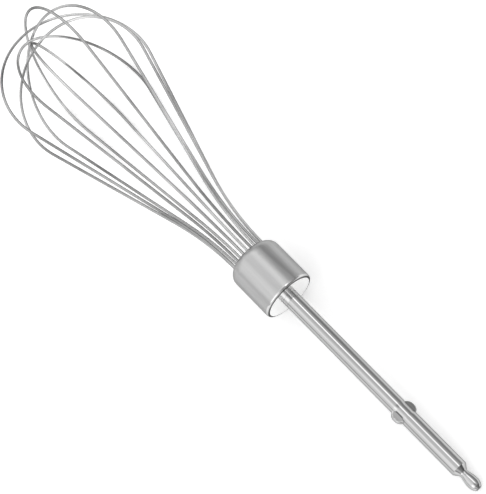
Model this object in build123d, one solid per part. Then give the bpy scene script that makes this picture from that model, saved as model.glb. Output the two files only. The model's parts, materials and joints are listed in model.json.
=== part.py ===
# Whisk attachment of a hand mixer: a drive shaft, a steel collar and six nested wire loops.
# The axis runs along X while it is built: the drive tip points to +X and the balloon of wire to -X,
# with the collar's base face at X = 0. At the end the whole part is laid down as it rests on a table,
# with its lowest points at Z = 0. All sizes are in millimetres and all angles in degrees.
from build123d import *
import math
import os

# Drive shaft: a turned rod with two pressed ears and a waisted tip
shaft_dia = 5.0
shaft_length = 69.0        # from the collar's base face to the drive shoulder
shaft_insert = 8.0         # how far the shaft reaches up into the collar
neck_dia = 2.6
bulb_dia = 3.7
tip_end_dia = 2.0
neck_round = 0.7
shoulder_cone = 1.7        # length of the cone from the shoulder down to the neck
neck_length = 0.5
bulb_rise = 3.2            # from the neck to the fattest place of the bulb
bulb_fall = 2.2            # from the fattest place to the flat end

# Pressed ears that the mixer's spindle grips
ear_place = 47.1           # from the collar's base face to the middle of the ears
ear_span = 7.7             # across both ears
ear_length = 4.9           # along the shaft
ear_root = 2.1             # thickness of the ears at the shaft's axis
ear_rim = 1.2              # thickness at their outer edge
ear_corner = 2.3
ear_edge = 0.35
ear_turn = -26.0           # turn of the ears about the shaft
die_place = 2.05           # from the shaft's axis to the flat floor of a press mark
die_length = 4.0
die_width = 4.0
die_corner = 1.0
die_slope = 27.0           # lean of a press mark's walls
press_draw = 0.2           # how far the rod is drawn in where the ears are pressed out of it
press_ramp = 1.0           # length of the slope down to the drawn-in stretch

# Collar: a drawn cup, a disc that closes it and a block inside that grips the wires
collar_dia = 16.6
collar_length = 17.1
collar_wall = 0.8
crown_round = 3.3
rim_round = 0.75
base_thick = 1.5
fit_gap = 0.05             # radial room between pieces that fit into each other

# Wire loops: legs that bend outwards above the collar and run into one round arc, nested at the pole
wire_dia = 0.85
wire_gap = 0.25            # room between two wires that cross at the pole
wire_ring_dia = 11.0       # circle of the holes in the collar's crown
wire_grip = 6.5            # length of each wire end inside the collar
balloon_length = 103.4     # from the crown to the middle of the outermost wire
balloon_radius = 23.5      # arc of the outermost loop
wire_bend = 92.0           # radius of the bend above the collar
loop_turns = (10.5, 38.2, 66.0, 96.6, 125.6, 159.4)  # turn of each loop about the axis
stack_places = (6, 3, 0, 8, 4, 1)          # place of each loop at the pole, counted from outside
loop_sways = (0.3, 1.4, 1.7, 1.75, -2.9, -1.2)  # how far each loop's arc leans to one side

# Sizes that follow from the ones above
shaft_radius = shaft_dia / 2
collar_radius = collar_dia / 2
cup_radius = collar_radius - collar_wall
crown_under = collar_length - collar_wall
wire_radius = wire_dia / 2
hole_radius = wire_radius + fit_gap
stack_pitch = wire_dia + wire_gap
settle_rounds = 6


def turned(outline):
    """Solid of a closed outline of (along the axis, radius) spun about the axis."""
    return revolve(make_face(outline), Axis.X)


def make_shaft_rod():
    """Rod with the cone, neck and bulb of the drive tip."""
    neck_start = shaft_length + shoulder_cone
    bulb_start = neck_start + neck_length
    bulb_top = bulb_start + bulb_rise
    tip_end = bulb_top + bulb_fall
    corners = Polyline(
        (bulb_start, neck_dia / 2),
        (neck_start, neck_dia / 2),
        (shaft_length, shaft_radius),
        (ear_place + ear_length / 2, shaft_radius),
        (ear_place + ear_length / 2 - press_ramp, shaft_radius - press_draw),
        (ear_place - ear_length / 2 + press_ramp, shaft_radius - press_draw),
        (ear_place - ear_length / 2, shaft_radius),
        (-shaft_insert, shaft_radius),
        (-shaft_insert, 0),
        (tip_end, 0),
        (tip_end, tip_end_dia / 2),
    )
    fall = TangentArc((bulb_top, bulb_dia / 2), (tip_end, tip_end_dia / 2), tangent=(1, 0))
    rise = TangentArc((bulb_top, bulb_dia / 2), (bulb_start, neck_dia / 2), tangent=(-1, 0))
    rod = turned([corners, fall, rise])
    circles = rod.edges().filter_by(GeomType.CIRCLE)
    neck_edges = [edge for edge in circles if abs(edge.radius - neck_dia / 2) < fit_gap]
    return fillet(neck_edges, neck_round)


def make_ear():
    """One ear with rounded corners, thinner to its outer edge. Its inner end lies inside the rod."""
    section = Polygon(
        (0, ear_root / 2),
        (-ear_span / 2, ear_rim / 2),
        (-ear_span / 2, -ear_rim / 2),
        (0, -ear_root / 2),
        align=None,
    )
    wedge = extrude(Plane.YZ * section, ear_length / 2, both=True)
    outline = extrude(RectangleRounded(ear_length, ear_span, ear_corner), ear_root / 2, both=True)
    ear = outline & wedge
    by_height = ear.faces().sort_by(Axis.Z)
    rims = by_height[0].edges() + by_height[-1].edges()
    outer_rims = rims.filter_by_position(Axis.Y, -ear_span, -ear_edge)
    return Pos(ear_place, 0, 0) * fillet(outer_rims, ear_edge)


def make_die():
    """Tool that presses the rod down to the face of one ear."""
    face_slope = math.degrees(math.atan((ear_root - ear_rim) / ear_span))
    face = Pos(ear_place, 0, ear_root / 2) * Rot(face_slope, 0, 0)
    floor = RectangleRounded(die_length, die_width, die_corner)
    return face * Pos(0, -die_place - die_width / 2, 0) * extrude(floor, shaft_radius, taper=-die_slope)


def make_drive_shaft():
    """Rod, the press marks above and below each ear, and the ears."""
    die = make_die()
    dies = die + mirror(die, about=Plane.XY)
    ear = make_ear()
    opposite = Rot(180, 0, 0)
    pressed = make_shaft_rod() - dies - opposite * dies
    return Rot(ear_turn, 0, 0) * (pressed + ear + opposite * ear)


def make_collar_cup(wire_holes):
    """Drawn cup with a round shoulder, open below, with the wire holes in its crown."""
    outer = Pos(-collar_length / 2, 0, 0) * Rot(0, -90, 0) * Cylinder(collar_radius, collar_length)
    crown_edge = outer.edges().sort_by(Axis.X)[0]
    domed = fillet(crown_edge, crown_round)
    rim_edge = domed.edges().sort_by(Axis.X)[-1]
    return fillet(rim_edge, rim_round) - make_cup_filling(0) - wire_holes


def make_cup_filling(gap):
    """Round block of the cup's inner form, smaller by the gap at its side."""
    radius = cup_radius - gap
    block = Pos(-crown_under / 2, 0, 0) * Rot(0, -90, 0) * Cylinder(radius, crown_under)
    return fillet(block.edges().sort_by(Axis.X)[0], crown_round - collar_wall)


def make_shaft_bore():
    """Room for the shaft's upper end."""
    bore = Cylinder(shaft_radius + fit_gap, shaft_insert, align=(Align.CENTER, Align.CENTER, Align.MIN))
    return Rot(0, -90, 0) * bore


def make_collar_base():
    """Disc that closes the cup round the shaft."""
    disc = Cylinder(cup_radius - fit_gap, base_thick, align=(Align.CENTER, Align.CENTER, Align.MIN))
    return Rot(0, -90, 0) * disc - make_shaft_bore()


def make_wire_holder(wire_holes):
    """Block inside the cup, with a blind hole for each wire end and for the shaft."""
    below = Pos(-base_thick, 0, 0) * Rot(0, 90, 0) * Cylinder(
        collar_radius, collar_length, align=(Align.CENTER, Align.CENTER, Align.MIN)
    )
    return make_cup_filling(fit_gap) - below - make_shaft_bore() - wire_holes


def leg_path(side, centre, radius):
    """Edges of a leg from its end in the collar to the arc, and where it meets the arc, in the loop's plane.
    The first coordinate is the height above the collar's base face, the second is measured from the axis."""
    hole = Vector(collar_length, side * wire_ring_dia / 2)
    bend_centre = hole + Vector(0, side * wire_bend)
    to_arc = centre - bend_centre
    lean = math.asin((radius + wire_bend) / to_arc.length) + math.atan2(side * to_arc.Y, to_arc.X)
    inwards = Vector(math.sin(lean), -side * math.cos(lean))
    bend_end = bend_centre + inwards * wire_bend
    meet = centre - inwards * radius
    end = hole - Vector(wire_grip, 0)
    return [Line(end, hole), TangentArc(hole, bend_end, tangent=(1, 0)), Line(bend_end, meet)], meet


def loop_plane(number):
    """Plane of a loop: its x runs up the axis to the pole and its y out from the axis."""
    turn = math.radians(loop_turns[number])
    return Plane(origin=(0, 0, 0), x_dir=(-1, 0, 0), z_dir=(0, math.sin(turn), -math.cos(turn)))


def loop_arc(number):
    """Centre and radius of a loop's arc in its plane. Inner loops are the same form at a smaller size."""
    height = balloon_length - stack_places[number] * stack_pitch
    radius = balloon_radius * height / balloon_length
    return Vector(collar_length + height - radius, loop_sways[number]), radius


def make_wire_loop(number):
    """One bent wire: a leg, the arc over the pole and the other leg."""
    centre, radius = loop_arc(number)
    leg, meet = leg_path(1, centre, radius)
    other_leg, other_meet = leg_path(-1, centre, radius)
    top = ThreePointArc(meet, centre + Vector(radius, 0), other_meet)
    path = loop_plane(number) * Wire(leg + [top] + other_leg[::-1])
    section = Plane(origin=path @ 0, z_dir=path % 0) * Circle(wire_radius)
    return sweep(section, path=path)


def make_wire_holes():
    """Holes along the axis for every leg, from the wire's end out through the crown."""
    holes = []
    for number in range(len(loop_turns)):
        for side in (1, -1):
            foot = Vector(collar_length - wire_grip, side * wire_ring_dia / 2)
            end = loop_plane(number).from_local_coords(foot)
            drill = Cylinder(hole_radius, 2 * wire_grip, align=(Align.CENTER, Align.CENTER, Align.MIN))
            holes.append(Plane(origin=end, z_dir=(-1, 0, 0)) * drill)
    return holes


def lowest(solid):
    return solid.bounding_box().min.Z


def resting_pose(shaft, left_loop, right_loop):
    """Roll about the axis and tilt at which the tip and two loops touch the same level."""
    span = shaft_length + collar_length + balloon_length - balloon_radius
    roll = 0.0
    tilt = 0.0
    for _ in range(settle_rounds):
        pose = Rot(0, tilt, 0) * Rot(roll, 0, 0)
        left = lowest(pose * left_loop)
        right = lowest(pose * right_loop)
        tip = lowest(pose * shaft)
        roll -= math.degrees(math.atan((right - left) / balloon_radius))
        tilt += math.degrees(math.atan((tip - min(left, right)) / span))
    return Rot(0, tilt, 0) * Rot(roll, 0, 0), roll, tilt


wire_holes = make_wire_holes()
pieces = {
    "drive_shaft": make_drive_shaft(),
    "collar_cup": make_collar_cup(wire_holes),
    "collar_base": make_collar_base(),
    "wire_holder": make_wire_holder(wire_holes),
}
for number in range(len(loop_turns)):
    pieces[f"wire_loop_{number + 1}"] = make_wire_loop(number)

# Lay the part down on its third and fifth loops and the drive tip, middle of its box over the origin
pose, rest_roll, rest_tilt = resting_pose(
    pieces["drive_shaft"], pieces["wire_loop_3"], pieces["wire_loop_5"]
)
laid = {name: pose * solid for name, solid in pieces.items()}
boxes = [solid.bounding_box() for solid in laid.values()]
middle_x = (min(box.min.X for box in boxes) + max(box.max.X for box in boxes)) / 2
middle_y = (min(box.min.Y for box in boxes) + max(box.max.Y for box in boxes)) / 2
table = min(box.min.Z for box in boxes)
shift = Pos(-middle_x, -middle_y, -table)
print("roll", rest_roll, "tilt", rest_tilt, "shift", shift.position)

os.makedirs("parts", exist_ok=True)
for name, solid in laid.items():
    export_step(shift * solid, f"parts/{name}.step")
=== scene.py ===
import json
import math

import bpy
from mathutils import Matrix, Vector

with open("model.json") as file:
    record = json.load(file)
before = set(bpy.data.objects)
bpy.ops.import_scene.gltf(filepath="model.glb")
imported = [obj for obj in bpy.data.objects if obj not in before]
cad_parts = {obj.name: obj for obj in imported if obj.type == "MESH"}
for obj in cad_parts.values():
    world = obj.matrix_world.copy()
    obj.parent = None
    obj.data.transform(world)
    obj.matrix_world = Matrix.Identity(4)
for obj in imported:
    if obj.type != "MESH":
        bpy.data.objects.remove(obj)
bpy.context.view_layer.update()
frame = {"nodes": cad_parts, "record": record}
nodes = frame["nodes"]

# Camera, with sizes in metres and angles in degrees as everywhere below
MOUNT_TO_BASE = 0.059275        # from the shaft's mount back to the collar's base face
PICTURE_PIXELS = 494            # the long side of the photograph's frame
FOCAL_PIXELS = 1950
SENSOR_MM = 36
CAMERA_DISTANCE = 0.554         # depth of the collar's base face
BASE_RIGHT_OF_MIDDLE = 0.0194   # along the axis as the picture shows it
BASE_ABOVE_MIDDLE = -0.00056    # square to the axis as the picture shows it
AXIS_TO_PICTURE = 20.0          # tilt of the axis towards the camera
AXIS_IN_PICTURE = 45.34         # slant of the axis in the picture, down to the right
ROLL_OF_VIEW = 1.73             # turn of the view about the axis
NEAREST_SEEN = 0.01
FARTHEST_SEEN = 20

# Floor
FLOOR_HALF = 3.0                # half of its side
FLOOR_GREY = 0.9
FLOOR_GLOW = 0.29               # what lifts it to white for the camera and in the steel

# Strip lamp
KEY_LENGTH = 1.2
KEY_WIDTH = 0.16
KEY_POWER = 0.92                # in watts
KEY_DISTANCE = 0.7              # from the shaft's mount
KEY_LEAN = 21.0                 # from above the shaft towards +Y
KEY_BACK = 20.0                 # towards the balloon

# Studio
SURROUND = 0.94                 # strength of the plain walls
DARKEST = 0.2                   # least strength, where dark panels meet
PANEL_SOFTNESS = 0.25           # how slowly a panel ends along the axis

# Panels of the studio, with five values each:
# angle of the middle about the axis, from above towards +Y
# half of the width as an angle, or None where the panel goes all round
# middle of the reach along the axis, where 1 is straight ahead of the tip and -1 straight behind
# half of that reach
# strength at the middle, which is added to the walls
PANELS = {
    "left softbox": (-46.0, 44.0, 0.0, 1.0, 0.6),
    "right flag": (67.0, 42.0, 0.0, 1.0, -0.56),
    "left horizon": (-92.0, 18.0, 0.0, 1.0, -0.5),
    "front softbox": (-50.0, 45.0, 0.35, 0.08, 0.9),
    "front flag": (5.0, 40.0, 0.33, 0.08, -0.6),
    "dark front": (0.0, None, 1.0, 0.28, -0.6),
}

# Steel and resin
NOISE_ENDS = (0.3, 0.7)         # noise at which a surface reaches the two ends of its range
TONE_ENDS = (0.35, 0.65)        # the same for lines and waves together
LINE_SHARE = 0.6                # of the lines in a steel's tone, where the rest is slow waves
LINE_DETAIL = 3.0
WAVES = (20, 20, 20)            # slow changes of tone in a metre
WAVE_DETAIL = 1.0
RING_DETAIL = 2.0
GRAIN_DETAIL = 3.0
SQUARE_TO_AXIS = (0, 1, 1)      # scale that drops the place along the axis
RIM_LENGTH = 0.0005             # the polished rim at the collar's base face, which also carries a painted highlight
RIM_POLISH = 0.3                # its roughness as a share of the satin wall's
RIM_PAINTED_HIGHLIGHT = 1.35                 # painted highlight on the rim: its brightness as a share of the satin wall's
PAINTED_SEAM_SHADE_PLACE = -0.00005           # painted shade: a dark line in the rim where the cup is closed
PAINTED_SEAM_SHADE_HALF = 0.0002              # half of that line's width
PAINTED_SEAM_SHADE = 0.88               # how much of the light that painted shade line keeps back
WIRE_LOOPS = 6

# The part's axis as it lies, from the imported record: the shaft's mount lies on it and points to the tip
shaft_mount = next(mount for mount in frame["record"]["mounts"] if mount["name"] == "shaft_end")
mount_point = Vector(shaft_mount["pos_m"])
axis = Vector(shaft_mount["axis"]).normalized()
across = Vector((0, 1, 0))
above = axis.cross(across)
base_point = mount_point - MOUNT_TO_BASE * axis


def turned_about_axis(vector, degrees):
    return Matrix.Rotation(math.radians(degrees), 3, axis) @ vector


def placed(point, x_axis, y_axis, z_axis):
    """Matrix of an object at a point, with its own axes along three directions."""
    return Matrix.Translation(point) @ Matrix((x_axis, y_axis, z_axis)).transposed().to_4x4()


def make_camera():
    """Camera at the photograph's viewing angle."""
    side = turned_about_axis(across, ROLL_OF_VIEW)
    near = turned_about_axis(above, ROLL_OF_VIEW)
    tilt = math.radians(AXIS_TO_PICTURE)
    along = math.cos(tilt) * axis - math.sin(tilt) * near
    back = math.sin(tilt) * axis + math.cos(tilt) * near
    slant = math.radians(AXIS_IN_PICTURE)
    right = math.cos(slant) * along + math.sin(slant) * side
    up = math.cos(slant) * side - math.sin(slant) * along
    picture_middle = base_point - BASE_RIGHT_OF_MIDDLE * along - BASE_ABOVE_MIDDLE * side
    data = bpy.data.cameras.new("camera")
    data.sensor_width = SENSOR_MM
    data.lens = FOCAL_PIXELS / PICTURE_PIXELS * SENSOR_MM
    data.clip_start = NEAREST_SEEN
    data.clip_end = FARTHEST_SEEN
    camera = bpy.data.objects.new("camera", data)
    camera.matrix_world = placed(picture_middle + CAMERA_DISTANCE * back, right, up, back)
    bpy.context.scene.collection.objects.link(camera)
    bpy.context.scene.camera = camera


def add_math(tree, operation, first, second):
    """Math node on two inputs, each of them a socket or a number."""
    node = tree.nodes.new("ShaderNodeMath")
    node.operation = operation
    for socket, value in zip(node.inputs, (first, second)):
        if isinstance(value, bpy.types.NodeSocket):
            tree.links.new(value, socket)
        else:
            socket.default_value = value
    return node.outputs[0]


def add_range(tree, value, source, target, kind="LINEAR"):
    """Map a value from one range to another, held at its ends."""
    node = tree.nodes.new("ShaderNodeMapRange")
    node.interpolation_type = kind
    node.inputs["From Min"].default_value = source[0]
    node.inputs["From Max"].default_value = source[1]
    node.inputs["To Min"].default_value = target[0]
    node.inputs["To Max"].default_value = target[1]
    tree.links.new(value, node.inputs["Value"])
    return node.outputs["Result"]


def add_distance(tree, value, middle):
    return add_math(tree, "ABSOLUTE", add_math(tree, "SUBTRACT", value, middle), 0)


def add_band(tree, value, middle, half_width, strength):
    """Soft band: full strength at its middle, nothing at its edges."""
    away = add_distance(tree, value, middle)
    return add_range(tree, away, (0, half_width), (strength, 0), "SMOOTHSTEP")


def add_noise(tree, vector, detail):
    node = tree.nodes.new("ShaderNodeTexNoise")
    node.inputs["Scale"].default_value = 1
    node.inputs["Detail"].default_value = detail
    tree.links.new(vector, node.inputs["Vector"])
    return node.outputs["Fac"]


def add_dot_product(tree, direction, vector):
    node = tree.nodes.new("ShaderNodeVectorMath")
    node.operation = "DOT_PRODUCT"
    tree.links.new(direction, node.inputs[0])
    node.inputs[1].default_value = vector
    return node.outputs["Value"]


def part_coordinates(tree, scale=(1, 1, 1)):
    """Place on the part, x along its axis from the collar's base face, stretched for a texture."""
    place = tree.nodes.new("ShaderNodeTexCoord")
    lay = tree.nodes.new("ShaderNodeMapping")
    lay.vector_type = "TEXTURE"
    lay.inputs["Location"].default_value = base_point
    lay.inputs["Rotation"].default_value = Matrix((axis, across, above)).transposed().to_euler()
    tree.links.new(place.outputs["Object"], lay.inputs["Vector"])
    stretch = tree.nodes.new("ShaderNodeMapping")
    stretch.inputs["Scale"].default_value = scale
    tree.links.new(lay.outputs[0], stretch.inputs["Vector"])
    return stretch.outputs[0]


def new_material(name):
    material = bpy.data.materials.new(name)
    material.use_nodes = True
    tree = material.node_tree
    return material, tree, tree.nodes["Principled BSDF"]


def set_surface(tree, shader, tone, roughness, height, depth):
    """Give the shader a grey, a roughness and a bump that change over the surface."""
    colour = tree.nodes.new("ShaderNodeCombineColor")
    for channel in colour.inputs:
        tree.links.new(tone, channel)
    tree.links.new(colour.outputs[0], shader.inputs["Base Color"])
    tree.links.new(roughness, shader.inputs["Roughness"])
    bump = tree.nodes.new("ShaderNodeBump")
    bump.inputs["Distance"].default_value = depth
    tree.links.new(height, bump.inputs["Height"])
    tree.links.new(bump.outputs[0], shader.inputs["Normal"])


def add_rim(tree, tone, roughness):
    """Polished rim at the collar's base face, with a painted highlight along it and a dark line of
    painted shade where the cup is closed.
    """
    place = tree.nodes.new("ShaderNodeSeparateXYZ")
    tree.links.new(part_coordinates(tree), place.inputs[0])
    along = place.outputs["X"]
    rim_start = (-2 * RIM_LENGTH, -RIM_LENGTH)
    polish = add_range(tree, along, rim_start, (1, RIM_POLISH), "SMOOTHSTEP")
    # painted highlight: the rim's grey is lifted to draw a bright line of light along it
    painted_highlight = add_range(tree, along, rim_start, (1, RIM_PAINTED_HIGHLIGHT), "SMOOTHSTEP")
    # painted shade: a dark line is painted into the grey where the cup meets the base
    seam_shade = add_band(tree, along, PAINTED_SEAM_SHADE_PLACE, PAINTED_SEAM_SHADE_HALF, PAINTED_SEAM_SHADE)
    highlighted = add_math(tree, "MULTIPLY", tone, painted_highlight)
    shaded = add_math(tree, "MULTIPLY", highlighted, add_math(tree, "SUBTRACT", 1, seam_shade))
    return shaded, add_math(tree, "MULTIPLY", roughness, polish)


def make_steel(name, grey, rough, edge, lines, line_depth, has_rim=False):
    """Steel with worked lines. Grey and rough are the ends of their ranges, edge is the tint where the
    surface turns away, lines is how often it changes in a metre along the axis and square to it."""
    material, tree, shader = new_material(name)
    shader.inputs["Metallic"].default_value = 1
    shader.inputs["Specular Tint"].default_value = (edge, edge, edge, 1)
    line = add_noise(tree, part_coordinates(tree, lines), LINE_DETAIL)
    wave = add_noise(tree, part_coordinates(tree, WAVES), WAVE_DETAIL)
    line_part = add_math(tree, "MULTIPLY", line, LINE_SHARE)
    wave_part = add_math(tree, "MULTIPLY", wave, 1 - LINE_SHARE)
    both = add_math(tree, "ADD", line_part, wave_part)
    tone = add_range(tree, both, TONE_ENDS, grey)
    roughness = add_range(tree, line, NOISE_ENDS, rough)
    if has_rim:
        tone, roughness = add_rim(tree, tone, roughness)
    set_surface(tree, shader, tone, roughness, both, line_depth)
    return material


def make_turned_steel(name, grey, rough, rings, ring_depth):
    """Polished disc with faint turning rings round the axis, given as changes in a metre."""
    material, tree, shader = new_material(name)
    shader.inputs["Metallic"].default_value = 1
    from_axis = tree.nodes.new("ShaderNodeVectorMath")
    from_axis.operation = "LENGTH"
    tree.links.new(part_coordinates(tree, SQUARE_TO_AXIS), from_axis.inputs[0])
    ring_place = tree.nodes.new("ShaderNodeCombineXYZ")
    stretched = add_math(tree, "MULTIPLY", from_axis.outputs["Value"], rings)
    tree.links.new(stretched, ring_place.inputs["X"])
    ring = add_noise(tree, ring_place.outputs[0], RING_DETAIL)
    tone = add_range(tree, ring, NOISE_ENDS, grey)
    roughness = add_range(tree, ring, NOISE_ENDS, rough)
    set_surface(tree, shader, tone, roughness, ring, ring_depth)
    return material


def make_resin(name, grey, rough, grains, grain_depth):
    """Dark moulded resin of the block inside the collar, with grains given as changes in a metre."""
    material, tree, shader = new_material(name)
    grain = add_noise(tree, part_coordinates(tree, grains), GRAIN_DETAIL)
    tone = add_range(tree, grain, NOISE_ENDS, grey)
    roughness = add_range(tree, grain, NOISE_ENDS, rough)
    set_surface(tree, shader, tone, roughness, grain, grain_depth)
    return material


def make_floor():
    """Pale floor that shows white to the camera and in the steel, and keeps the shadow."""
    mesh = bpy.data.meshes.new("floor")
    corners = [
        (-FLOOR_HALF, -FLOOR_HALF, 0),
        (FLOOR_HALF, -FLOOR_HALF, 0),
        (FLOOR_HALF, FLOOR_HALF, 0),
        (-FLOOR_HALF, FLOOR_HALF, 0),
    ]
    mesh.from_pydata(corners, [], [(0, 1, 2, 3)])
    floor = bpy.data.objects.new("floor", mesh)
    bpy.context.scene.collection.objects.link(floor)
    material, tree, shader = new_material("floor")
    shader.inputs["Base Color"].default_value = (FLOOR_GREY, FLOOR_GREY, FLOOR_GREY, 1)
    shader.inputs["Roughness"].default_value = 1
    shader.inputs["Specular IOR Level"].default_value = 0
    glow = tree.nodes.new("ShaderNodeEmission")
    path = tree.nodes.new("ShaderNodeLightPath")
    seen = add_math(tree, "MAXIMUM", path.outputs["Is Camera Ray"], path.outputs["Is Glossy Ray"])
    seen = add_math(tree, "MAXIMUM", seen, path.outputs["Is Transmission Ray"])
    tree.links.new(add_math(tree, "MULTIPLY", seen, FLOOR_GLOW), glow.inputs["Strength"])
    both = tree.nodes.new("ShaderNodeAddShader")
    tree.links.new(shader.outputs[0], both.inputs[0])
    tree.links.new(glow.outputs[0], both.inputs[1])
    tree.links.new(both.outputs[0], tree.nodes["Material Output"].inputs["Surface"])
    mesh.materials.append(material)


def make_world():
    """Studio round the part, with softboxes and dark flags laid out about the axis."""
    world = bpy.data.worlds.new("studio")
    world.use_nodes = True
    tree = world.node_tree
    direction = tree.nodes.new("ShaderNodeTexCoord").outputs["Generated"]
    sideways = add_dot_product(tree, direction, across)
    upwards = add_dot_product(tree, direction, above)
    forwards = add_dot_product(tree, direction, axis)
    angle = add_math(tree, "ARCTAN2", sideways, upwards)
    total = SURROUND
    for middle, half_width, along, half_reach, strength in PANELS.values():
        beside = add_distance(tree, forwards, along)
        reach_end = (half_reach, half_reach + PANEL_SOFTNESS)
        panel = add_range(tree, beside, reach_end, (strength, 0), "SMOOTHSTEP")
        if half_width:
            band = add_band(tree, angle, math.radians(middle), math.radians(half_width), 1)
            panel = add_math(tree, "MULTIPLY", panel, band)
        total = add_math(tree, "ADD", total, panel)
    total = add_math(tree, "MAXIMUM", total, DARKEST)
    path = tree.nodes.new("ShaderNodeLightPath")
    total = add_math(tree, "MAXIMUM", total, path.outputs["Is Camera Ray"])
    background = tree.nodes["Background"]
    tree.links.new(total, background.inputs["Strength"])
    background.inputs["Color"].default_value = (1, 1, 1, 1)
    bpy.context.scene.world = world


def make_key_lamp():
    """Long narrow softbox that draws the thin bright line along the shaft."""
    data = bpy.data.lights.new("key", "AREA")
    data.shape = "RECTANGLE"
    data.size = KEY_LENGTH
    data.size_y = KEY_WIDTH
    data.energy = KEY_POWER
    lamp = bpy.data.objects.new("key", data)
    lean = math.radians(KEY_LEAN)
    back = math.radians(KEY_BACK)
    leaning = math.cos(lean) * above + math.sin(lean) * across
    facing = math.cos(back) * leaning - math.sin(back) * axis
    lamp_x = (axis - axis.dot(facing) * facing).normalized()
    lamp_y = facing.cross(lamp_x)
    lamp.matrix_world = placed(mount_point + KEY_DISTANCE * facing, lamp_x, lamp_y, facing)
    bpy.context.scene.collection.objects.link(lamp)


def dress(names, material):
    for name in names:
        data = nodes[name].data
        data.materials.clear()
        data.materials.append(material)


bpy.context.scene.view_settings.view_transform = "Standard"
make_camera()
make_floor()
make_world()
make_key_lamp()

shaft_steel = make_steel(
    "shaft_steel",
    grey=(0.39, 0.53),
    rough=(0.05, 0.11),
    edge=0.32,
    lines=(20, 1500, 1500),
    line_depth=0.000002,
)
collar_steel = make_steel(
    "collar_steel",
    grey=(0.41, 0.5),
    rough=(0.35, 0.44),
    edge=0.45,
    lines=(40, 700, 700),
    line_depth=0.000002,
    has_rim=True,
)
base_steel = make_turned_steel(
    "base_steel",
    grey=(0.88, 0.95),
    rough=(0.2, 0.28),
    rings=1500,
    ring_depth=0.000004,
)
holder_resin = make_resin(
    "holder_resin",
    grey=(0.04, 0.07),
    rough=(0.45, 0.6),
    grains=(900, 900, 900),
    grain_depth=0.00005,
)
wire_steel = make_steel(
    "wire_steel",
    grey=(0.16, 0.66),
    rough=(0.04, 0.1),
    edge=0.2,
    lines=(25, 110, 110),
    line_depth=0.000001,
)
dress(["drive_shaft"], shaft_steel)
dress(["collar_cup"], collar_steel)
dress(["collar_base"], base_steel)
dress(["wire_holder"], holder_resin)
dress([f"wire_loop_{number}" for number in range(1, WIRE_LOOPS + 1)], wire_steel)
